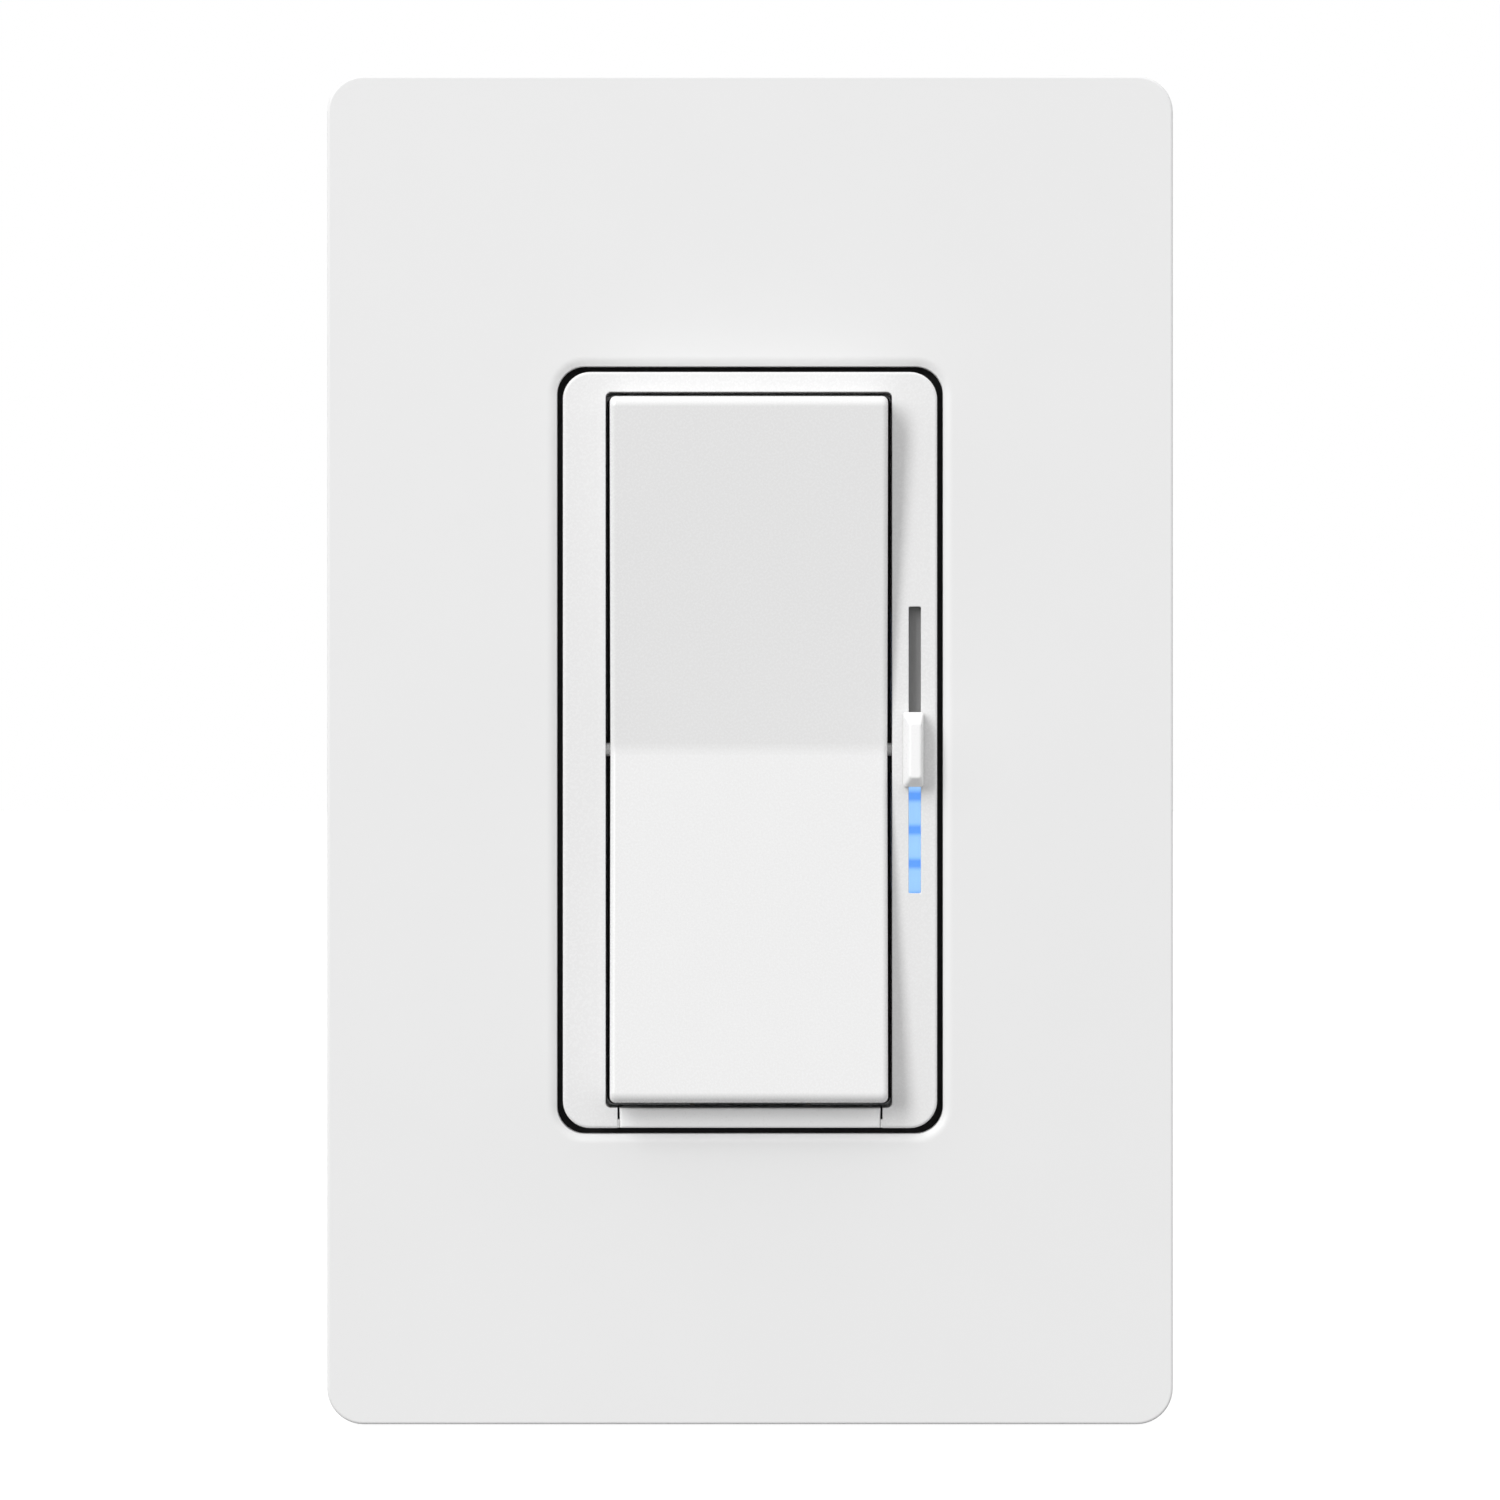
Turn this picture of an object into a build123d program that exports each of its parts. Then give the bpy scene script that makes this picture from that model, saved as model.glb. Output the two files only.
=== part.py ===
from build123d import *
import math
import os

# A wall dimmer: a rocking paddle and a slide control in a bezel, with a screwless wall plate.
# Millimetres. X right, Z up, +Y into the wall; Y = 0 is the wall's face, so the front is -Y.

# Wall plate
plate_width = 74.7
plate_height = 119.1
plate_corner = 3.2
plate_front = -7.6
plate_wall = 1.6
plate_edge = 0.25
window_width = 34.1
window_height = 67.8
window_corner = 2.45
window_rim_width = 0.55
window_rim_depth = 0.28
window_rim_brink = 0.1
window_rim_crest = 1.2

# Bezel
bezel_width = 33.03
bezel_height = 66.74
bezel_corner = 2.4
bezel_front = -8.0
bezel_back = -1.6
bezel_face = 1.2
bezel_edge = 0.25
pocket_edge = 0.08
pocket_half_width = 12.64
pocket_top = 31.61
pocket_bottom = -31.59
pocket_corner = 0.5
channel_inner = 13.65
channel_outer = 15.5
channel_half_length = 32.3

# Paddle
paddle_x = -0.1
paddle_z = 0.05
paddle_half_width = 12.21
paddle_half_height = 31.03
paddle_middle = -8.7
paddle_tilt = 5.5
paddle_end_edge = 0.8
paddle_side_edge = 0.5
crease_radius = 5.0
paddle_skin = 1.4
paddle_side = 1.2
paddle_back = -4.8
pivot_y = -6.5
pin_radius = 0.58
pin_hole_radius = 0.63
pin_tip = 13.1
pin_hole_tip = 13.35
plunger_z = 23.0

# Slide control
slot_x = 14.55
slot_width = 1.08
slot_length = 25.3
slot_edge = 0.08
knob_x = 14.39
knob_z = 0.04
knob_width = 1.78
knob_height = 6.58
knob_corner = 0.25
knob_back = -8.15
knob_foot = -9.3
crest_x = 14.55
crest_z = -0.055
crest_width = 1.03
crest_height = 4.83
crest_corner = 0.3
crest_front = -10.4
crest_edge = 0.24
stem_half_length = 3.1
shield_top = 22.55
shield_front = -6.65
shield_back = -6.25
arm_front = -4.6

# Air-gap service tab
tab_half_width = 11.52
tab_taper = 0.05
tab_clearance = 0.18
tab_top = -31.61
tab_bottom = -33.34
tab_back = -2.4
tab_edge = 0.2
ledge_top = -32.6
ledge_front = -7.85

# Strap, screws and rear housing
strap_front = -1.6
box_screw_z = 41.67
adapter_screw_z = 48.4
box_screw_radius = 1.7526
housing_half_width = 21.0
housing_half_height = 35.2
housing_back = 30.5
housing_wall = 1.5
flange_lip = 0.6
flange_depth = 2.4
fin_half = 0.5
column_x = 17.6
column_z = 31.4
board_front = 5.0
board_back = 6.6
lever_x = 10.2
device_x = -9.8
led_pitch = 3.0
led_count = 8
led_shift = -1.1
terminal_y = 14.0
terminal_pitch = 16.0


def block(x0, x1, y0, y1, z0, z1):
    """Box between two opposite corners."""
    center = Pos((x0 + x1) / 2, (y0 + y1) / 2, (z0 + z1) / 2)
    return center * Box(x1 - x0, y1 - y0, z1 - z0)


def rod_y(x, z, y0, y1, radius):
    """Round bar along Y."""
    return Pos(x, (y0 + y1) / 2, z) * Rot(90, 0, 0) * Cylinder(radius, y1 - y0)


def rod_x(y, z, x0, x1, radius):
    """Round bar along X."""
    return Pos((x0 + x1) / 2, y, z) * Rot(0, 90, 0) * Cylinder(radius, x1 - x0)


def front_plane(x, y, z):
    """Plane facing the room, with its own x along X and its own y along Z."""
    return Plane(origin=(x, y, z), x_dir=(1, 0, 0), z_dir=(0, -1, 0))


def slab(width, height, corner, y0, y1, x=0.0, z=0.0):
    """Rounded rectangle seen from the front, filled from y0 back to y1."""
    face = front_plane(x, y1, z) * RectangleRounded(width, height, corner)
    return extrude(face, amount=y1 - y0)


def edges_at_y(solid, y):
    """Edges that lie in the plane at this depth."""
    return solid.edges().filter_by_position(Axis.Y, y - 0.005, y + 0.005)


def inside(edges, half_width, half_height):
    """Those edges whose centre is within a rectangle about the origin."""
    return [e for e in edges if abs(e.center().X) < half_width and abs(e.center().Z) < half_height]


def soften_window(solid):
    """Slopes the plate's face gently down to the window, then rounds the two corners of that slope."""
    rim = inside(edges_at_y(solid, plate_front), 18, 35)
    face = solid.faces().sort_by(Axis.Y)[0]
    solid = chamfer(rim, window_rim_width, window_rim_depth, reference=face)
    brink = inside(edges_at_y(solid, plate_front + window_rim_depth), 18, 35)
    solid = fillet(brink, window_rim_brink)
    crest = inside(edges_at_y(solid, plate_front), 19, 36)
    return fillet(crest, window_rim_crest)


def wall_plate():
    solid = slab(plate_width, plate_height, plate_corner, plate_front, 0)
    solid = fillet(edges_at_y(solid, plate_front), plate_edge)
    inner_width = plate_width - 2 * plate_wall
    inner_height = plate_height - 2 * plate_wall
    solid -= slab(inner_width, inner_height, plate_corner - plate_wall, plate_front + plate_wall, 1)
    solid -= slab(window_width, window_height, window_corner, plate_front - 1, 0)
    solid = soften_window(solid)
    # stiffening ribs on the inner face, down each side of the window
    for x in (-31, -27, 27, 31):
        solid += block(x - 0.45, x + 0.45, plate_front + plate_wall - 0.1, -4.6, -54, 54)
    # small ridges that hook behind the adapter
    side = inner_width / 2
    top = inner_height / 2
    for sign in (-1, 1):
        for z in (-30, 30):
            x0 = min(sign * (side - 0.5), sign * (side + 0.2))
            solid += block(x0, x0 + 0.7, -1.5, -0.9, z - 4, z + 4)
        for x in (-18, 18):
            z0 = min(sign * (top - 0.5), sign * (top + 0.2))
            solid += block(x - 4, x + 4, -1.5, -0.9, z0, z0 + 0.7)
    return solid


def plate_adapter():
    solid = slab(71.0, 115.4, 1.6, -3.6, strap_front)
    rim = slab(71.0, 115.4, 1.6, -5.9, -3.6) - slab(67.4, 111.8, 1.0, -6.5, -3.0)
    solid += rim
    # windows either side of the strap leave a ladder frame
    for x in (-28.9, 28.9):
        for z in (-38.4, -12.8, 12.8, 38.4):
            solid -= slab(9.4, 22.0, 1.2, -6.5, 0, x, z)
    solid -= slab(bezel_width + 0.2, bezel_height + 0.2, bezel_corner, -6, -1)
    for sign in (-1, 1):
        solid -= rod_y(0, sign * box_screw_z, -6, -1, 4.0)
        solid -= rod_y(0, sign * adapter_screw_z, -6, -1, 1.9)
    return solid


def snap_hook(sign, z):
    """Leg on the bezel's side wall that passes the strap and hooks behind it."""
    x0 = min(sign * 15.5, sign * 16.5)
    leg = block(x0, x0 + 1, bezel_back - 0.4, 1.2, z - 2.5, z + 2.5)
    profile = Polyline((16.4, 0.05), (17.0, 0.05), (16.5, 1.2), (16.4, 1.2), close=True)
    hook = Pos(0, 0, z - 2.5) * extrude(make_face(profile), amount=5)
    if sign < 0:
        hook = mirror(hook, about=Plane.YZ)
    return leg + hook


def bezel():
    solid = slab(bezel_width, bezel_height, bezel_corner, bezel_front, bezel_back)
    solid = fillet(edges_at_y(solid, bezel_front), bezel_edge)
    height = pocket_top - pocket_bottom
    middle = (pocket_top + pocket_bottom) / 2
    solid -= slab(2 * pocket_half_width, height, pocket_corner, -9, 0, paddle_x, middle)
    rim = inside(edges_at_y(solid, bezel_front), 13, 32)
    solid = fillet(rim, pocket_edge)
    # notch for the service tab, with a bridge behind it that the tab's leg goes through
    notch = tab_half_width + tab_clearance
    solid -= block(-notch, notch, -9, -2.2, -35, pocket_bottom + 0.7)
    solid -= block(-5.3, 5.3, -3, -1, -33.1, -31.8)
    # ledges that close the lower half of the slits beside the tab
    inner = tab_half_width
    outer = notch + 0.05
    for sign in (-1, 1):
        x0 = min(sign * inner, sign * outer)
        solid += block(x0, x0 + outer - inner, ledge_front, -6.5, -bezel_height / 2 + 0.05, ledge_top)
    for sign in (-1, 1):
        x0 = min(sign * channel_inner, sign * channel_outer)
        width = channel_outer - channel_inner
        back = bezel_front + bezel_face
        solid -= block(x0, x0 + width, back, 0, -channel_half_length, channel_half_length)
    solid -= slab(slot_width, slot_length, 0.15, -9, -6, slot_x, 0)
    slot_rim = [e for e in edges_at_y(solid, bezel_front) if abs(e.center().X - slot_x) < slot_width]
    solid = fillet(slot_rim, slot_edge)
    # blind holes for the paddle's pins
    solid -= rod_x(pivot_y, paddle_z, 12.0, pin_hole_tip, pin_hole_radius)
    solid -= rod_x(pivot_y, paddle_z, -pin_hole_tip, -12.0, pin_hole_radius)
    # window in the wall beside the channel for the slide control's arm
    solid -= block(12.4, 13.8, -5.1, -3.6, -12.3, 12.3)
    for sign in (-1, 1):
        for z in (-21, 21):
            solid += snap_hook(sign, z)
    return solid


def inner_tray():
    solid = slab(25.2, 62.9, 0.65, -2.8, strap_front, paddle_x, 0)
    for sign in (-1, 1):
        solid -= rod_y(0, sign * plunger_z, -4, 0, 2.4)
    solid -= block(8.8, 11.6, -4, 0, -11.8, 11.8)
    return solid


def paddle_profile(front_offset, half_height, back):
    """Side profile of the paddle: two flat halves that meet in a softened crease."""
    slope = math.tan(math.radians(paddle_tilt))
    reach = crease_radius * slope
    dz = reach * math.cos(math.radians(paddle_tilt))
    dy = reach * math.sin(math.radians(paddle_tilt))
    mid = paddle_middle + front_offset
    bow = crease_radius * (1 / math.cos(math.radians(paddle_tilt)) - 1)
    end_y = mid - half_height * slope
    crease = ThreePointArc((mid - dy, -dz), (mid - bow, 0), (mid - dy, dz))
    upper = Line((mid - dy, dz), (end_y, half_height))
    top = Line((end_y, half_height), (back, half_height))
    rear = Line((back, half_height), (back, -half_height))
    bottom = Line((back, -half_height), (end_y, -half_height))
    lower = Line((end_y, -half_height), (mid - dy, -dz))
    return make_face([crease, upper, top, rear, bottom, lower])


def paddle():
    outline = paddle_profile(0, paddle_half_height, paddle_back)
    ends = [v for v in outline.vertices() if v.X < paddle_middle and abs(v.Y) > 30]
    outline = fillet(ends, paddle_end_edge)
    solid = Pos(-paddle_half_width, 0, 0) * extrude(Plane.YZ * outline, amount=2 * paddle_half_width)
    solid = fillet(side_edges(solid), paddle_side_edge)
    inner_width = 2 * (paddle_half_width - paddle_side)
    core = Plane.YZ * paddle_profile(paddle_skin, paddle_half_height - paddle_side, paddle_back + 1)
    solid -= Pos(-inner_width / 2, 0, 0) * extrude(core, amount=inner_width)
    # the sides are shallower in the middle, where the slide control's arm crosses behind them
    solid -= block(-20, 20, -5.9, 0, -13, 13)
    # stiffening ribs
    for z in (-14.5, 14.5):
        solid += block(-11.2, 11.2, -9.3, -6.4, z - 0.4, z + 0.4)
    solid += block(-0.4, 0.4, -8.4, -6.4, -14.4, 14.4)
    for sign in (-1, 1):
        solid += rod_y(0, sign * plunger_z, -10.2, -3.2, 1.6)
        root = paddle_half_width - 0.6
        x0 = min(sign * root, sign * pin_tip)
        solid += rod_x(pivot_y, 0, x0, x0 + pin_tip - root, pin_radius)
    return Pos(paddle_x, 0, paddle_z) * solid


def side_edges(solid):
    """Edges round the paddle's left and right sides, apart from the ones at its open back."""
    return [e for e in solid.edges() if abs(e.center().X) > 12 and e.center().Y < paddle_back - 0.1]


def slider_knob():
    """Tapered knob whose crest stands towards the slot's outer side, on a stem with a flange."""
    knob = slab(knob_width, knob_height, knob_corner, knob_foot, knob_back, knob_x, knob_z)
    foot_plane = front_plane(knob_x, knob_foot, knob_z)
    crest_plane = front_plane(crest_x, crest_front, crest_z)
    foot = foot_plane * RectangleRounded(knob_width, knob_height, knob_corner)
    crest = crest_plane * RectangleRounded(crest_width, crest_height, crest_corner)
    knob += fillet(edges_at_y(loft([foot, crest]), crest_front), crest_edge)
    stem = block(14.1, 15.0, -8.3, arm_front, -stem_half_length, stem_half_length)
    flange = block(13.75, 15.4, shield_front, shield_back, -stem_half_length, stem_half_length)
    return knob + stem + flange


def slot_shield():
    """Strip above the knob that slides with it and closes the upper part of the slot."""
    return block(13.75, 15.4, shield_front, shield_back, stem_half_length, shield_top)


def slider_arm():
    cross = block(lever_x - 0.6, 15.0, arm_front, arm_front + 0.7, -2.0, 2.0)
    lever = block(lever_x - 0.6, lever_x + 0.6, arm_front + 0.6, 2.0, -1.5, 1.5)
    return cross + lever


def service_tab():
    outline = Polyline(
        (-tab_half_width, tab_top),
        (tab_half_width, tab_top),
        (tab_half_width - tab_taper, tab_bottom),
        (-tab_half_width + tab_taper, tab_bottom),
        close=True,
    )
    face = front_plane(0, tab_back, 0) * make_face(outline)
    solid = extrude(face, amount=tab_back - bezel_front)
    solid = fillet(edges_at_y(solid, bezel_front), tab_edge)
    solid += block(-5.0, 5.0, tab_back - 0.5, 6.0, -33.0, -31.9)
    solid += block(-6.2, 6.2, 3.3, 4.3, -33.0, -31.9)
    return solid


def air_gap_bridge():
    solid = block(-6.5, 6.5, 6.0, 6.6, -33.2, -31.6)
    for x in (-4.5, 4.5):
        solid += rod_y(x, -32.4, 6.6, 7.1, 0.75)
    return solid


def air_gap_contacts():
    parts = []
    for x in (-4.5, 4.5):
        blade = block(x - 1.1, x + 1.1, 7.65, 8.15, -33.2, -28.6)
        blade += block(x - 1.1, x + 1.1, board_back, 7.65, -29.4, -28.6)
        blade += rod_y(x, -32.4, 7.15, 7.65, 0.75)
        parts.append(blade)
    return Compound(children=parts)


def yoke():
    solid = slab(44.5, 72.0, 2.0, strap_front, 0)
    solid += slab(26.0, 106.4, 2.5, strap_front, 0)
    for sign in (-1, 1):
        slot = front_plane(0, 0, sign * box_screw_z) * SlotOverall(6.6, 3.7)
        solid -= Pos(0, 1, 0) * extrude(slot, amount=4)
        solid -= rod_y(0, sign * adapter_screw_z, -3, 1, 1.5)
        solid -= rod_y(0, sign * plunger_z, -3, 1, 2.3)
        for z in (-21, 21):
            x0 = min(sign * 14.95, sign * 16.6)
            solid -= block(x0, x0 + 1.65, -3, 1, z - 2.7, z + 2.7)
        for x in (-column_x, column_x):
            solid -= rod_y(x, sign * column_z, -3, 1, 1.3)
    solid -= block(9.0, 11.4, -3, 1, -11.6, 11.6)
    solid -= block(13.8, 15.4, -3, 1, -13.2, 13.2)
    solid -= block(-5.4, 5.4, -3, 1, -33.35, -31.55)
    solid -= rod_y(device_x, -8, -3, 1, 1.5)
    solid -= rod_y(-9.5, 39.5, -3, 1, 1.6)
    return solid


def pan_screw(x, z, head_front, seat, tip, head_radius, shank_radius, slot_width_mm):
    """Screw driven from the front: domed head with a cross recess, and a shank along +Y."""
    head = rod_y(x, z, head_front, seat, head_radius)
    head = fillet(edges_at_y(head, head_front), 0.45 * (seat - head_front))
    depth = 0.55 * (seat - head_front)
    reach = 0.6 * head_radius
    half = slot_width_mm / 2
    head -= block(x - reach, x + reach, head_front - 1, head_front + depth, z - half, z + half)
    head -= block(x - half, x + half, head_front - 1, head_front + depth, z - reach, z + reach)
    return head + rod_y(x, z, seat, tip, shank_radius)


def rear_screw(x, z, head_back, seat, tip, head_radius, shank_radius, slot_width_mm):
    """Screw driven from behind: the same screw, turned to face the other way."""
    screw = pan_screw(x, 0, -head_back, -seat, -tip, head_radius, shank_radius, slot_width_mm)
    return Pos(0, 0, z) * mirror(screw, about=Plane.XZ)


def box_screws():
    parts = []
    for sign in (-1, 1):
        z = sign * box_screw_z
        screw = pan_screw(0, z, -3.9, strap_front, 0, 3.5, 1.6, 0.9)
        parts.append(screw + rod_y(0, z, 0, 22, box_screw_radius))
    return Compound(children=parts)


def adapter_screws():
    parts = []
    for sign in (-1, 1):
        parts.append(pan_screw(0, sign * adapter_screw_z, -5.3, -3.6, 1.5, 2.7, 1.45, 0.8))
    return Compound(children=parts)


def ground_screw():
    return rear_screw(-9.5, 39.5, 2.2, 0, strap_front, 3.4, 1.55, 0.9)


def housing_screws():
    parts = []
    for x in (-column_x, column_x):
        for z in (-column_z, column_z):
            parts.append(rear_screw(x, z, 11.0, 9.0, strap_front, 2.4, 1.25, 0.7))
    return Compound(children=parts)


def rear_housing():
    width = 2 * housing_half_width
    height = 2 * housing_half_height
    outer = slab(width, height, 2.0, 0, housing_back)
    outer = fillet(edges_at_y(outer, housing_back), 1.2)
    flange = slab(width + 2 * flange_lip, height + 2 * flange_lip, 2.5, 0, flange_depth)
    outer += fillet(edges_at_y(flange, flange_depth), 0.4)
    cavity = slab(width - 2 * housing_wall, height - 2 * housing_wall, 0.8, -1, housing_back - 1.6)
    solid = outer - cavity
    for x in (-column_x, column_x):
        for z in (-column_z, column_z):
            solid += rod_y(x, z, 0, housing_back, 3.4) & outer
            solid -= rod_y(x, z, -1, 10, 1.35)
            solid -= rod_y(x, z, 9, 31, 2.7)
    # ribs that carry the circuit board
    for z in (-8, 8):
        solid += block(-19.6, -18.0, board_back, 29.2, z - 0.8, z + 0.8)
        solid += block(18.0, 19.6, board_back, 29.2, z - 0.8, z + 0.8)
    # barriers between the terminals
    for z in (-24, -8, 8, 24):
        solid += block(-23.6, -20.9, 8, 20, z - 0.6, z + 0.6)
    for i in (-1, 0, 1):
        solid -= rod_x(terminal_y, i * terminal_pitch, -22, -19, 1.75)
    # cooling fins down the side away from the terminals, and along the top and the bottom
    for i in range(-3, 4):
        solid += block(20.9, 21.8, 5, 26, 8 * i - fin_half, 8 * i + fin_half)
    for x in (-10, -5, 0, 5, 10):
        solid += block(x - fin_half, x + fin_half, 5, 26, 35.1, 36)
        solid += block(x - fin_half, x + fin_half, 5, 26, -36, -35.1)
    # shallow cooling grooves across the back
    for i in range(-5, 6):
        solid -= block(-14, 14, housing_back - 0.5, housing_back + 1, 4 * i - 0.6, 4 * i + 0.6)
    return solid


def terminal_plates():
    parts = []
    for i in (-1, 0, 1):
        z = i * terminal_pitch
        plate = block(-21.8, -21.0, terminal_y - 4, terminal_y + 4, z - 4, z + 4)
        parts.append(plate - rod_x(terminal_y, z, -23, -20, 1.75))
    return Compound(children=parts)


def terminal_nuts():
    parts = []
    for i in (-1, 0, 1):
        z = i * terminal_pitch
        nut = block(-19.5, -16.8, terminal_y - 3.2, terminal_y + 3.2, z - 3.2, z + 3.2)
        parts.append(nut - rod_x(terminal_y, z, -20, -16, 1.65))
    return Compound(children=parts)


def terminal_screws():
    parts = []
    for i in (-1, 0, 1):
        z = i * terminal_pitch
        head = rod_x(terminal_y, z, -24.0, -21.8, 3.2)
        rim = head.edges().filter_by_position(Axis.X, -24.01, -23.99)
        head = fillet(rim, 0.8)
        head -= block(-25, -23.0, terminal_y - 3.6, terminal_y + 3.6, z - 0.45, z + 0.45)
        parts.append(head + rod_x(terminal_y, z, -21.8, -16.8, 1.6))
    return Compound(children=parts)


def circuit_board():
    solid = block(-19.2, 19.2, board_front, board_back, -31.2, 31.2)
    for x in (-column_x, column_x):
        for z in (-column_z, column_z):
            solid -= rod_y(x, z, 4, 8, 3.9)
    for x in (device_x - 2.54, device_x, device_x + 2.54):
        solid -= rod_y(x, -24.2, 4, 8, 0.65)
    return solid


def pot_body():
    solid = block(6.4, 13.3, 0.7, board_front, -17, 17)
    solid -= block(7.6, 12.6, 1.6, 4.3, -15, 15)
    solid -= block(9.2, 11.2, 0, 2, -11.3, 11.3)
    return solid


def pot_track():
    return block(8.2, 12.2, 4.2, 4.3, -14.6, 14.6)


def pot_carriage():
    return block(7.9, 12.3, 2.0, 3.6, -3, 3)


def pot_wiper():
    spring = block(8.6, 11.8, 3.6, 3.8, -2.4, 2.4)
    for x in (9.2, 11.2):
        spring += block(x - 0.4, x + 0.4, 3.8, 4.15, -0.6, 0.6)
    return spring


def switch_body(z):
    solid = block(-3.5, 3.5, 0.3, board_front, z - 3.5, z + 3.5)
    solid -= rod_y(0, z, 0.9, 4.6, 2.9)
    solid -= rod_y(0, z, 0, 1, 1.56)
    return solid


def switch_plunger(z):
    shaft = rod_y(0, z, -3.1, 3.1, 1.5)
    shaft = fillet(edges_at_y(shaft, -3.1), 0.9)
    return shaft + rod_y(0, z, 2.3, 3.1, 2.6)


def indicator_leds():
    parts = []
    first = led_shift - led_pitch * (led_count - 1) / 2
    for i in range(led_count):
        z = first + i * led_pitch
        parts.append(block(slot_x - 0.6, slot_x + 0.6, 3.8, board_front, z - 0.8, z + 0.8))
    return Compound(children=parts)


def light_pipe():
    solid = block(13.93, 15.2, -3.4, 3.6, -13.0, 13.0)
    solid += block(13.6, 15.9, 0, 0.8, -14.6, 14.6)
    return solid


def power_device():
    """Three-lead device with its tab flat on the strap, which is its heat sink."""
    left = device_x - 4.9
    right = device_x + 4.9
    solid = block(left, right, 0, 1.3, -20, -5)
    solid -= rod_y(device_x, -8, -1, 2, 1.8)
    solid += block(left, right, 1.0, 4.4, -20, -11.2)
    for x in (device_x - 2.54, device_x, device_x + 2.54):
        solid += block(x - 0.35, x + 0.35, 2.2, 2.8, -24.5, -19.9)
        solid += block(x - 0.35, x + 0.35, 2.2, 7.6, -24.5, -23.9)
    return solid


def device_screw():
    return rear_screw(device_x, -8, 3.1, 1.3, strap_front, 2.7, 1.45, 0.8)


def choke_core():
    return Pos(-5.5, 10.25, 12) * Rot(90, 0, 0) * Torus(7.0, 2.6)


def choke_winding():
    """Turns of wire around the ring core, side by side."""
    parts = []
    turns = 18
    for i in range(turns):
        turn = Pos(7.0, 0, 0) * Rot(90, 0, 0) * Torus(3.12, 0.45)
        parts.append(Pos(-5.5, 10.25, 12) * Rot(90, 0, 0) * Rot(0, 0, i * 360 / turns) * turn)
    return Compound(children=parts)


def film_capacitor():
    solid = block(7.0, 17.0, board_back, 20.0, 10.5, 22.5)
    return fillet(solid.edges().filter_by(Axis.Y), 0.5)


def electrolytic_capacitor():
    solid = rod_y(11.5, -4, board_back, 21.0, 4.2)
    return fillet(edges_at_y(solid, 21.0), 0.5)


def varistor():
    disc = rod_x(13.6, -14, -1.0, 2.2, 5.0)
    disc = fillet(disc.edges().filter_by(GeomType.CIRCLE), 1.0)
    for z in (-16.5, -11.5):
        disc += rod_y(0.6, z, board_back, 10.5, 0.4)
    return disc


def controller_chip():
    solid = block(8.0, 12.0, board_back + 0.2, board_back + 1.7, -25.0, -20.0)
    for i in range(4):
        z = -24.4 + 1.27 * i
        solid += block(7.0, 13.0, board_back, board_back + 0.5, z - 0.2, z + 0.2)
    return solid


def export_all():
    os.makedirs("parts", exist_ok=True)
    export_step(wall_plate(), "parts/wall_plate.step")
    export_step(plate_adapter(), "parts/plate_adapter.step")
    export_step(adapter_screws(), "parts/adapter_screws.step")
    export_step(bezel(), "parts/bezel.step")
    export_step(inner_tray(), "parts/inner_tray.step")
    export_step(paddle(), "parts/paddle.step")
    export_step(slider_knob(), "parts/slider_knob.step")
    export_step(slider_arm(), "parts/slider_arm.step")
    export_step(slot_shield(), "parts/slot_shield.step")
    export_step(light_pipe(), "parts/light_pipe.step")
    export_step(indicator_leds(), "parts/indicator_leds.step")
    export_step(service_tab(), "parts/service_tab.step")
    export_step(air_gap_bridge(), "parts/air_gap_bridge.step")
    export_step(air_gap_contacts(), "parts/air_gap_contacts.step")
    export_step(yoke(), "parts/yoke.step")
    export_step(box_screws(), "parts/box_screws.step")
    export_step(ground_screw(), "parts/ground_screw.step")
    export_step(rear_housing(), "parts/rear_housing.step")
    export_step(housing_screws(), "parts/housing_screws.step")
    export_step(terminal_plates(), "parts/terminal_plates.step")
    export_step(terminal_nuts(), "parts/terminal_nuts.step")
    export_step(terminal_screws(), "parts/terminal_screws.step")
    export_step(circuit_board(), "parts/circuit_board.step")
    export_step(pot_body(), "parts/pot_body.step")
    export_step(pot_track(), "parts/pot_track.step")
    export_step(pot_carriage(), "parts/pot_carriage.step")
    export_step(pot_wiper(), "parts/pot_wiper.step")
    export_step(switch_body(plunger_z), "parts/top_switch.step")
    export_step(switch_body(-plunger_z), "parts/bottom_switch.step")
    export_step(switch_plunger(plunger_z), "parts/top_plunger.step")
    export_step(switch_plunger(-plunger_z), "parts/bottom_plunger.step")
    export_step(power_device(), "parts/power_device.step")
    export_step(device_screw(), "parts/device_screw.step")
    export_step(choke_core(), "parts/choke_core.step")
    export_step(choke_winding(), "parts/choke_winding.step")
    export_step(film_capacitor(), "parts/film_capacitor.step")
    export_step(electrolytic_capacitor(), "parts/electrolytic_capacitor.step")
    export_step(varistor(), "parts/varistor.step")
    export_step(controller_chip(), "parts/controller_chip.step")


export_all()
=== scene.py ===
"""Looks, lights and camera for a wall dimmer. Metres; X right, Z up, +Y into the wall."""

import math

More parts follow.
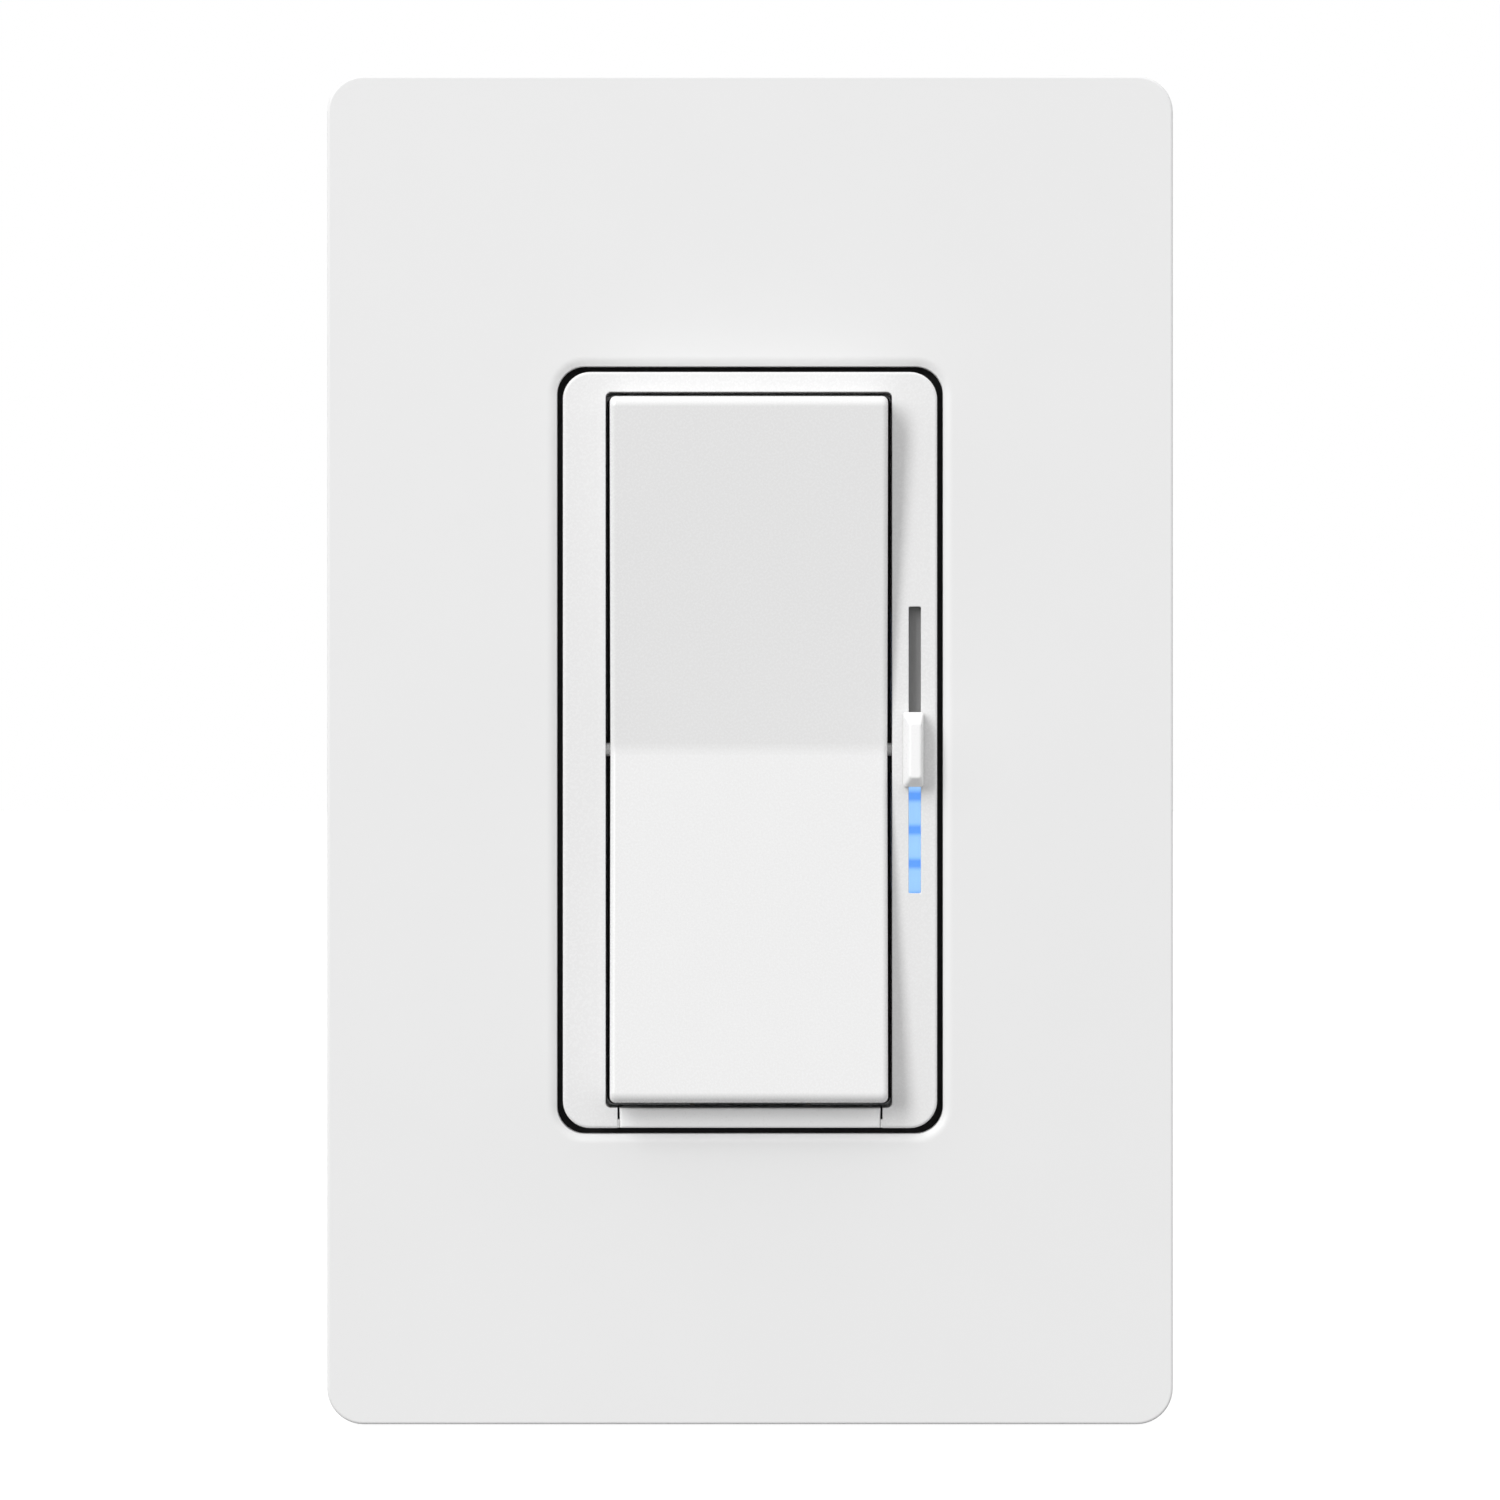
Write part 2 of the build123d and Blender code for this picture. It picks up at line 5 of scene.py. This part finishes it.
import bmesh
import bpy
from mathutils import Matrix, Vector


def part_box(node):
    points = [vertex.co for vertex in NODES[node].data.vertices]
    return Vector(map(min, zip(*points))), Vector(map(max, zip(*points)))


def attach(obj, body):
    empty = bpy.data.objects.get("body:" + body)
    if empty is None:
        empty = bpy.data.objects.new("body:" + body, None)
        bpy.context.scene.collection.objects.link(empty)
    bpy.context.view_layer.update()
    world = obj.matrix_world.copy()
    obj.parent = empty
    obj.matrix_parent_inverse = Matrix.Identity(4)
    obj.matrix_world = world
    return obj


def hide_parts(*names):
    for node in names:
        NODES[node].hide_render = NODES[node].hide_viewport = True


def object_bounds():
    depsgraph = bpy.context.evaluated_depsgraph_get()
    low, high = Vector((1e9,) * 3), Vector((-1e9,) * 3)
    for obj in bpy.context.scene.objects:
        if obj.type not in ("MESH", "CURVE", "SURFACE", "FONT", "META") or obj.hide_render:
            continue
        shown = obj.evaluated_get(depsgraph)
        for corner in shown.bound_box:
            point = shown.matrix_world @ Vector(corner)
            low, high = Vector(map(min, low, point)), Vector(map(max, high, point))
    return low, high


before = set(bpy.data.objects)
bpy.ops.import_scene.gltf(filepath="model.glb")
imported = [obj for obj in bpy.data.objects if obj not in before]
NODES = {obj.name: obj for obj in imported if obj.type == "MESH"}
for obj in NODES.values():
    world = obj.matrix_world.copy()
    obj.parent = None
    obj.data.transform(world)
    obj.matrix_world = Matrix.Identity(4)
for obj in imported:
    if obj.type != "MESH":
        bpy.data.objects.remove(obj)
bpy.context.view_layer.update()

MM = 0.001
WHITE = (1, 1, 1, 1)

# camera
PLATE_SHARE = 0.564        # share of the picture's width that the wall plate takes
LENS = 165.0
SENSOR = 36.0
NEAR_CLIP = 0.01
FAR_CLIP = 50

# light
KEY_DIRECTION = (-0.66, -1.0, 0.6)  # from the object towards the main soft box
KEY_DISTANCE = 6.0
KEY_WIDTH = 1.6
KEY_HEIGHT = 4.8           # a tall box, so shadows are crisper sideways than up and down
KEY_POWER = 203.0
FILL_LOW = 0.29            # light from below the horizon
FILL_HIGH = 0.93           # light from above it
FILL_EDGE = 0.06           # half the height of the soft step between the two

# floor
FLOOR_SIZE = 12.0
FLOOR_GAP = 0.2 * MM       # between the floor and the plate's lower edge
FLOOR_GREY = 0.25
FLOOR_GLOW = 0.9           # brings the floor near the backdrop's white


# ---------------------------------------------------------------- materials

IOR = 1.5
NOISE_ROUGHNESS = 0.55
TINT_DARK_AT = 0.3         # noise value at which a tinted colour is darkest
TINT_LIGHT_AT = 0.7        # and at which it is lightest


class Shader:
    """A material whose nodes are added from left to right by small calls."""

    def __init__(self, name, color, roughness, metallic=0.0):
        self.material = bpy.data.materials.new(name)
        self.material.use_nodes = True
        self.tree = self.material.node_tree
        self.bsdf = self.tree.nodes["Principled BSDF"]
        self.bsdf.inputs["Base Color"].default_value = (*color, 1.0)
        self.bsdf.inputs["Roughness"].default_value = roughness
        self.bsdf.inputs["Metallic"].default_value = metallic
        self.bsdf.inputs["IOR"].default_value = IOR
        self.coordinates = self.node("ShaderNodeTexCoord").outputs["Object"]

    def node(self, kind):
        return self.tree.nodes.new(kind)

    def link(self, source, target):
        self.tree.links.new(source, target)

    def mapped(self, how, value):
        """Object coordinates, in metres, after one Scale or Rotation."""
        mapping = self.node("ShaderNodeMapping")
        mapping.inputs[how].default_value = value
        self.link(self.coordinates, mapping.inputs["Vector"])
        return mapping.outputs["Vector"]

    def noise(self, per_metre, detail=3.0, stretch=(1, 1, 1)):
        texture = self.node("ShaderNodeTexNoise")
        texture.inputs["Scale"].default_value = per_metre
        texture.inputs["Detail"].default_value = detail
        texture.inputs["Roughness"].default_value = NOISE_ROUGHNESS
        self.link(self.mapped("Scale", stretch), texture.inputs["Vector"])
        return texture.outputs["Fac"]

    def calc(self, operation, source, value=0.0):
        """One step of arithmetic on a source; value is for operations that take two numbers."""
        step = self.node("ShaderNodeMath")
        step.operation = operation
        step.inputs[1].default_value = value
        self.link(source, step.inputs[0])
        return step.outputs["Value"]

    def ramp(self, source, stops):
        """Colour ramp from (position, colour) stops."""
        ramp = self.node("ShaderNodeValToRGB")
        elements = ramp.color_ramp.elements
        while len(elements) < len(stops):
            elements.new(0.5)  # the stops below set where it goes
        for element, (position, color) in zip(elements, stops):
            element.position = position
            element.color = (*color, 1.0)
        self.link(source, ramp.inputs["Fac"])
        return ramp.outputs["Color"]

    def spread(self, source, low, high, source_low=0.0):
        """Maps source_low..1 to low..high."""
        span = self.node("ShaderNodeMapRange")
        span.inputs["From Min"].default_value = source_low
        span.inputs["To Min"].default_value = low
        span.inputs["To Max"].default_value = high
        self.link(source, span.inputs["Value"])
        return span.outputs["Result"]

    def roughness_from(self, source, low, high):
        self.link(self.spread(source, low, high), self.bsdf.inputs["Roughness"])

    def bump(self, source, depth, strength):
        """Relief of this depth in metres."""
        bump = self.node("ShaderNodeBump")
        bump.inputs["Strength"].default_value = strength
        bump.inputs["Distance"].default_value = depth
        self.link(source, bump.inputs["Height"])
        self.link(bump.outputs["Normal"], self.bsdf.inputs["Normal"])

    def tint(self, color, spread, source):
        """Base colour that varies a little lighter and darker about one colour."""
        dark = tuple(channel * (1 - spread) for channel in color)
        light = tuple(channel * (1 + spread) for channel in color)
        shade = self.ramp(source, [(TINT_DARK_AT, dark), (TINT_LIGHT_AT, light)])
        self.link(shade, self.bsdf.inputs["Base Color"])


def moulded_white(name, white, gloss, depth):
    """White plastic, a little cloudy, with the very fine grain that the mould leaves."""
    color = (white, white, white)
    shader = Shader(name, color, roughness=gloss)
    shader.tint(color, spread=0.005, source=shader.noise(per_metre=60))
    grain = shader.noise(per_metre=5200, detail=2.0)
    shader.roughness_from(grain, low=gloss - 0.05, high=gloss + 0.07)
    shader.bump(grain, depth, strength=0.5)
    return shader.material


def moulded_black(name, grey, grain_size, depth):
    """Black plastic, a little blue, with a coarser grain."""
    shader = Shader(name, (grey, grey, grey), roughness=0.5)
    bluish = (grey, grey, grey * 1.03)
    shader.tint(bluish, spread=0.15, source=shader.noise(per_metre=90))
    grain = shader.noise(per_metre=1.0 / grain_size)
    shader.roughness_from(grain, low=0.42, high=0.62)
    shader.bump(grain, depth, strength=0.6)
    return shader.material


def grey_strip():
    grey = (0.26, 0.26, 0.26)
    shader = Shader("strip_grey", grey, roughness=0.6)
    shader.tint(grey, spread=0.03, source=shader.noise(per_metre=700))
    return shader.material


def lit_guide():
    """Frosted guide lit from behind: pale blue, with a deeper band between lights."""
    pitch = 3.0 * MM           # from one light to the next
    band_middle = -1.1 * MM    # height of the middle of one deeper band
    front_skin = 0.2 * MM      # only the guide's front end glows, to this depth
    glow_strength = 0.85
    pale = (0.35, 0.62, 0.97)
    mid = (0.34, 0.6, 0.97)
    soft = (0.25, 0.5, 0.95)
    deep = (0.127, 0.36, 0.90)

    shader = Shader("guide_lit", (0.35, 0.6, 0.95), roughness=0.35)
    split = shader.node("ShaderNodeSeparateXYZ")
    shader.link(shader.coordinates, split.inputs["Vector"])
    shifted = shader.calc("SUBTRACT", split.outputs["Z"], band_middle)
    turns = shader.calc("MULTIPLY", shifted, 2 * math.pi / pitch)
    wave = shader.calc("COSINE", turns)
    level = shader.spread(wave, 0.0, 1.0, source_low=-1.0)
    glow = shader.ramp(level, [(0.0, pale), (0.6, mid), (0.8, soft), (0.95, deep)])
    shader.link(glow, shader.bsdf.inputs["Emission Color"])
    shader.link(glow, shader.bsdf.inputs["Base Color"])

    low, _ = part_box("light_pipe")
    front = shader.calc("LESS_THAN", split.outputs["Y"], low.y + front_skin)
    strength = shader.calc("MULTIPLY", front, glow_strength)
    shader.link(strength, shader.bsdf.inputs["Emission Strength"])
    return shader.material


def lit_led():
    deep = (0.12, 0.35, 1.0)
    pale = (0.3, 0.6, 1.0)
    shader = Shader("led_lit", (0.7, 0.8, 0.95), roughness=0.3)
    glow = shader.ramp(shader.noise(per_metre=900), [(0.3, deep), (0.7, pale)])
    shader.link(glow, shader.bsdf.inputs["Emission Color"])
    shader.bsdf.inputs["Emission Strength"].default_value = 0.5
    return shader.material


def metal(name, color, roughness, brushed=(1, 1, 1), per_metre=1500):
    """Metal with a little staining and fine marks, long where brushed is below 1."""
    shader = Shader(name, color, roughness, metallic=1.0)
    marks = shader.noise(per_metre, detail=4.0, stretch=brushed)
    stain = shader.noise(per_metre=70, detail=5.0)
    shader.tint(color, spread=0.12, source=stain)
    shader.roughness_from(marks, low=roughness - 0.08, high=roughness + 0.14)
    shader.bump(marks, depth=0.004 * MM, strength=0.6)
    return shader.material


def plastic(name, color, roughness):
    """Coloured plastic, lacquer or ferrite with a fine grain."""
    shader = Shader(name, color, roughness)
    grain = shader.noise(per_metre=900)
    shader.tint(color, spread=0.08, source=grain)
    shader.roughness_from(grain, low=roughness - 0.06, high=roughness + 0.1)
    shader.bump(grain, depth=0.006 * MM, strength=0.5)
    return shader.material


def circuit_green():
    """Solder mask over tracks, which show as lighter bands."""
    mask = (0.02, 0.16, 0.07)
    shader = Shader("board_green", mask, roughness=0.25)
    tracks = shader.node("ShaderNodeTexBrick")
    tracks.inputs["Scale"].default_value = 320.0
    tracks.inputs["Color1"].default_value = (0.015, 0.13, 0.05, 1)
    tracks.inputs["Color2"].default_value = (*mask, 1)
    tracks.inputs["Mortar"].default_value = (0.05, 0.3, 0.12, 1)
    tracks.inputs["Mortar Size"].default_value = 0.03
    upright = shader.mapped("Rotation", (math.pi / 2, 0, 0))
    shader.link(upright, tracks.inputs["Vector"])
    shader.link(tracks.outputs["Color"], shader.bsdf.inputs["Base Color"])
    shader.bump(tracks.outputs["Fac"], depth=0.02 * MM, strength=0.4)
    return shader.material


def dress(material, *names):
    """Gives CAD nodes one material."""
    for name in names:
        mesh = NODES[name].data
        mesh.materials.clear()
        mesh.materials.append(material)


def dress_face():
    """What shows from the front, and the lights behind the slot."""
    dress(moulded_white("satin_white", white=0.83, gloss=0.4, depth=0.004 * MM), "wall_plate")
    dress(moulded_white("gloss_white", white=0.83, gloss=0.26, depth=0.0015 * MM),
          "bezel", "paddle")
    # painted light: a lighter copy of the same white plastic, so the slider knob and the
    # service tab (which lies in the paddle's shadow) come out brighter
    dress(moulded_white("white_painted_lighter", white=0.95, gloss=0.28, depth=0.0006 * MM),
          "slider_knob", "service_tab")
    dress(grey_strip(), "slot_shield")
    dress(lit_guide(), "light_pipe")
    dress(lit_led(), "indicator_leds")


def dress_body():
    """Black mouldings and metal parts; the plate adapter's black is partly painted shade in the
    gap round the device.
    """
    # partly painted shade: the plate adapter is near-black so the gap round the device comes
    # out dark; the other parts here are black mouldings
    dress(moulded_black("moulded_black", grey=0.02, grain_size=0.25 * MM, depth=0.008 * MM),
          "plate_adapter", "inner_tray", "slider_arm", "pot_carriage", "top_switch",
          "bottom_switch", "power_device", "controller_chip")
    dress(moulded_black("housing_black", grey=0.03, grain_size=0.45 * MM, depth=0.02 * MM),
          "rear_housing")
    dress(metal("strap_aluminium", (0.73, 0.74, 0.75), roughness=0.34,
                brushed=(1, 1, 0.06), per_metre=2600), "yoke")
    dress(metal("zinc_plate", (0.5, 0.5, 0.48), roughness=0.26),
          "adapter_screws", "box_screws", "housing_screws", "device_screw", "pot_body")
    dress(metal("stamped_brass", (0.74, 0.54, 0.26), roughness=0.34, brushed=(1, 0.08, 1)),
          "air_gap_bridge", "air_gap_contacts", "terminal_plates", "terminal_nuts", "pot_wiper")
    dress(metal("turned_brass", (0.8, 0.61, 0.31), roughness=0.26), "terminal_screws")
    dress(metal("green_steel", (0.07, 0.4, 0.19), roughness=0.27), "ground_screw")


def dress_circuit():
    """The board and the parts on it, the resistor track and the switches' plungers."""
    dress(circuit_green(), "circuit_board")
    dress(plastic("carbon_track", (0.015, 0.015, 0.015), roughness=0.5), "pot_track")
    dress(plastic("plunger_red", (0.45, 0.05, 0.04), roughness=0.35),
          "top_plunger", "bottom_plunger")
    dress(plastic("ferrite_grey", (0.05, 0.05, 0.055), roughness=0.55), "choke_core")
    dress(metal("enamelled_copper", (0.6, 0.22, 0.08), roughness=0.25), "choke_winding")
    dress(plastic("film_yellow", (0.55, 0.4, 0.04), roughness=0.3), "film_capacitor")
    dress(plastic("sleeve_dark", (0.02, 0.03, 0.07), roughness=0.25), "electrolytic_capacitor")
    dress(plastic("dipped_blue", (0.03, 0.1, 0.35), roughness=0.3), "varistor")


# ---------------------------------------------------------------- threaded screws

THREAD_PITCH = 0.794 * MM      # 32 threads to the inch
THREAD_DEPTH = 0.42 * MM
CREST_WIDTH = 0.12             # of half a pitch, from the crest's middle
FLANK_WIDTH = 0.7              # of half a pitch
TIP_LENGTH = 0.8 * MM          # of the chamfer at the screw's end
TIP_INSET = 0.35 * MM          # of the screw's very end, inside the thread's root
RING_SIDES = 40
RINGS_PER_TURN = 10

SHOULDER_STEPS = 10
SHOULDER_SHARE = 0.55          # of the head's height
RIM_BREAK_SHARE = 0.06         # of the head's height, at its seat
CREASE_ANGLE = math.radians(32)
OVERLAP = 0.2 * MM             # by which one part of a screw runs into the next

RECESS_REACH = 0.6             # length of a recess's arm, of the head's radius
RECESS_MOUTH = 1.25            # of that length, where the cutter starts
RECESS_BOTTOM = 0.7            # of that length, at the bottom
CUTTER_RISE = 1 * MM           # of the cutter out of the head
CORNERS = ((-1, -1), (1, -1), (1, 1), (-1, 1))


def thread_radius(turn, crest):
    """Radius, after this many turns, of a V thread with a narrow flat crest and root."""
    ramp = abs((turn % 1.0) * 2 - 1)
    flank = min(max((ramp - CREST_WIDTH) / FLANK_WIDTH, 0.0), 1.0)
    return crest - THREAD_DEPTH * flank


def add_ring(bm, z, y, radius_at):
    """Ring of vertices about a screw's axis, which runs along Y at x = 0."""
    ring = []
    for i in range(RING_SIDES):
        part = i / RING_SIDES
        angle = 2 * math.pi * i / RING_SIDES
        radius = radius_at(part)
        ring.append(bm.verts.new((radius * math.cos(angle), y, z + radius * math.sin(angle))))
    return ring


def join_rings(bm, rings):
    """Closes a stack of rings into one solid, with a cap at each end."""
    sides = len(rings[0])
    for first, second in zip(rings, rings[1:]):
        for i in range(sides):
            j = (i + 1) % sides
            bm.faces.new((first[i], second[i], second[j], first[j]))
    bm.faces.new(rings[0])
    bm.faces.new(list(reversed(rings[-1])))


def add_shank(bm, z, start, end, crest):
    """Threaded rod along +Y: a plain run-out at the head and a chamfered tip."""
    count = int((end - start) / THREAD_PITCH * RINGS_PER_TURN)
    step = (end - start) / count
    root = crest - THREAD_DEPTH
    rings = []
    for k in range(count + 1):
        y = start + k * step
        run_out = min(k / RINGS_PER_TURN, 1.0)
        tip = min((end - y) / TIP_LENGTH, 1.0)
        widest = root - TIP_INSET + tip * (THREAD_DEPTH + TIP_INSET)

        def radius_at(part, y=y, run_out=run_out, widest=widest):
            threaded = thread_radius((y - start) / THREAD_PITCH - part, crest)
            return min(root + (threaded - root) * run_out, widest)

        rings.append(add_ring(bm, z, y, radius_at))
    join_rings(bm, rings)


def add_neck(bm, z, start, end, radius):
    join_rings(bm, [add_ring(bm, z, y, lambda part: radius) for y in (start, end)])


def add_head(bm, z, front, seat, radius):
    """Pan head, turned: flat crown, rounded shoulder, short straight rim."""
    height = seat - front
    shoulder = SHOULDER_SHARE * height
    rim_break = RIM_BREAK_SHARE * height
    profile = []
    for k in range(SHOULDER_STEPS + 1):
        turn = k / SHOULDER_STEPS * math.pi / 2
        out = radius - shoulder + shoulder * math.sin(turn)
        profile.append((front + shoulder * (1 - math.cos(turn)), out))
    profile.append((seat - rim_break, radius))
    profile.append((seat, radius - rim_break))
    join_rings(bm, [add_ring(bm, z, y, lambda part, out=out: out) for y, out in profile])


def cross_cutter(z, front, reach, half, depth):
    """Two crossed bars that taper towards the bottom of the recess."""
    bm = bmesh.new()
    for along_x in (True, False):
        ends = []
        for y, share in ((front - CUTTER_RISE, RECESS_MOUTH), (front + depth, RECESS_BOTTOM)):
            arm = reach * share
            across, up = (arm, half) if along_x else (half, arm)
            ends.append([bm.verts.new((sx * across, y, z + sz * up)) for sx, sz in CORNERS])
        join_rings(bm, ends)
    bmesh.ops.recalc_face_normals(bm, faces=bm.faces)
    return new_object("cutter", bm)


def new_object(name, bm):
    mesh = bpy.data.meshes.new(name)
    bm.to_mesh(mesh)
    bm.free()
    made = bpy.data.objects.new(name, mesh)
    bpy.context.scene.collection.objects.link(made)
    return made


def cut(target, cutter):
    """Takes the cutter out of the target's mesh and deletes the cutter."""
    modifier = target.modifiers.new("recess", "BOOLEAN")
    modifier.operation = "DIFFERENCE"
    modifier.solver = "EXACT"
    modifier.use_self = True
    modifier.object = cutter
    bpy.context.view_layer.objects.active = target
    bpy.ops.object.modifier_apply(modifier=modifier.name)
    bpy.data.objects.remove(cutter, do_unlink=True)


def threaded_screws(name, node, centres, head, neck, shank, recess):
    """One piece that stands for a pair of CAD screws, with a real thread and a cross recess.

    head is (front, seat, radius); neck and shank are (start, end, radius), neck may be None;
    recess is (reach, half width, depth). All along Y.
    """
    bm = bmesh.new()
    for z in centres:
        add_head(bm, z, *head)
    bmesh.ops.recalc_face_normals(bm, faces=bm.faces)
    piece = new_object(name, bm)
    for z in centres:
        cut(piece, cross_cutter(z, head[0], *recess))
    bm = bmesh.new()
    bm.from_mesh(piece.data)
    for z in centres:
        if neck:
            add_neck(bm, z, *neck)
        add_shank(bm, z, *shank)
    bmesh.ops.recalc_face_normals(bm, faces=bm.faces)
    bm.to_mesh(piece.data)
    bm.free()
    bpy.context.view_layer.objects.active = piece
    piece.select_set(True)
    bpy.ops.object.shade_smooth_by_angle(angle=CREASE_ANGLE)
    piece.select_set(False)
    piece.data.materials.append(bpy.data.materials["zinc_plate"])
    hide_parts(node)
    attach(piece, "device")


def screw_pair(node):
    """Front, tip, head radius and both heights of two CAD screws, one above the other."""
    low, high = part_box(node)
    radius = (high.x - low.x) / 2
    spacing = high.z - low.z - 2 * radius
    return low.y, high.y, radius, (-spacing / 2, spacing / 2)


def add_box_screws():
    front, tip, radius, centres = screw_pair("box_screws")
    strap_low, strap_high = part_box("yoke")
    neck_radius = 1.35 * MM
    crest = 1.75 * MM
    arm_half = 0.45 * MM
    recess_depth = 1.25 * MM
    threaded_screws(
        "box_screws_threaded", "box_screws", centres,
        head=(front, strap_low.y, radius),
        neck=(strap_low.y - OVERLAP, strap_high.y + OVERLAP, neck_radius),
        shank=(strap_high.y, tip, crest),
        recess=(RECESS_REACH * radius, arm_half, recess_depth),
    )


def add_adapter_screws():
    front, tip, radius, centres = screw_pair("adapter_screws")
    seat = front + 1.7 * MM
    crest = 1.45 * MM
    arm_half = 0.4 * MM
    recess_depth = 0.95 * MM
    threaded_screws(
        "adapter_screws_threaded", "adapter_screws", centres,
        head=(front, seat, radius),
        neck=None,
        shank=(seat - OVERLAP, tip, crest),
        recess=(RECESS_REACH * radius, arm_half, recess_depth),
    )


# ---------------------------------------------------------------- stage, lights, camera

def floor_white():
    """Matte grey that glows, so that it comes out near white."""
    material = bpy.data.materials.new("floor_white")
    material.use_nodes = True
    bsdf = material.node_tree.nodes["Principled BSDF"]
    bsdf.inputs["Base Color"].default_value = (FLOOR_GREY, FLOOR_GREY, FLOOR_GREY, 1)
    bsdf.inputs["Roughness"].default_value = 0.8
    bsdf.inputs["Specular IOR Level"].default_value = 0.2
    bsdf.inputs["Emission Color"].default_value = WHITE
    bsdf.inputs["Emission Strength"].default_value = FLOOR_GLOW
    return material


def add_floor():
    """Plain pale floor just under the wall plate's lower edge."""
    low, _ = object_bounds()
    bpy.ops.mesh.primitive_plane_add(size=FLOOR_SIZE, location=(0, 0, low.z - FLOOR_GAP))
    floor = bpy.context.object
    floor.name = "floor"
    floor.data.materials.append(floor_white())
    floor.visible_diffuse = False
    floor.visible_glossy = False


def add_world():
    """Light that falls mostly from above, in front of a backdrop that is plain white."""
    world = bpy.data.worlds.new("studio")
    bpy.context.scene.world = world
    world.use_nodes = True
    tree = world.node_tree
    backdrop = tree.nodes["Background"]
    backdrop.inputs["Strength"].default_value = 1.0
    backdrop.inputs["Color"].default_value = WHITE
    fill = tree.nodes.new("ShaderNodeBackground")
    fill.inputs["Color"].default_value = WHITE
    direction = tree.nodes.new("ShaderNodeTexCoord")
    split = tree.nodes.new("ShaderNodeSeparateXYZ")
    rise = tree.nodes.new("ShaderNodeMapRange")
    rise.inputs["From Min"].default_value = -FILL_EDGE
    rise.inputs["From Max"].default_value = FILL_EDGE
    rise.inputs["To Min"].default_value = FILL_LOW
    rise.inputs["To Max"].default_value = FILL_HIGH
    tree.links.new(direction.outputs["Generated"], split.inputs["Vector"])
    tree.links.new(split.outputs["Z"], rise.inputs["Value"])
    tree.links.new(rise.outputs["Result"], fill.inputs["Strength"])
    path = tree.nodes.new("ShaderNodeLightPath")
    chooser = tree.nodes.new("ShaderNodeMixShader")
    tree.links.new(path.outputs["Is Camera Ray"], chooser.inputs["Fac"])
    tree.links.new(fill.outputs["Background"], chooser.inputs[1])
    tree.links.new(backdrop.outputs["Background"], chooser.inputs[2])
    tree.links.new(chooser.outputs["Shader"], tree.nodes["World Output"].inputs["Surface"])


def add_key():
    """Main soft box: a rectangle that faces the origin, with its height upright."""
    lamp = bpy.data.lights.new("key", "AREA")
    lamp.shape = "RECTANGLE"
    lamp.size = KEY_WIDTH
    lamp.size_y = KEY_HEIGHT
    lamp.energy = KEY_POWER
    place = Vector(KEY_DIRECTION).normalized() * KEY_DISTANCE
    key = bpy.data.objects.new("key", lamp)
    bpy.context.scene.collection.objects.link(key)
    key.location = place
    key.rotation_euler = (-place).to_track_quat("-Z", "Y").to_euler()
    key.visible_camera = False


def add_camera():
    """Long lens straight in front, as far off as the plate's share of the picture asks."""
    low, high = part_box("wall_plate")
    picture_width = (high.x - low.x) / PLATE_SHARE
    distance = picture_width * LENS / SENSOR
    data = bpy.data.cameras.new("camera")
    data.lens = LENS
    data.sensor_width = SENSOR
    data.clip_start = NEAR_CLIP
    data.clip_end = FAR_CLIP
    camera = bpy.data.objects.new("camera", data)
    bpy.context.scene.collection.objects.link(camera)
    camera.location = (0, low.y - distance, 0)
    camera.rotation_euler = (math.pi / 2, 0, 0)
    bpy.context.scene.camera = camera


def set_view():
    settings = bpy.context.scene.view_settings
    settings.view_transform = "Standard"
    settings.look = "None"
    settings.exposure = 0.0
    settings.gamma = 1.0


dress_face()
dress_body()
dress_circuit()
add_box_screws()
add_adapter_screws()
add_floor()
add_world()
add_key()
add_camera()
set_view()
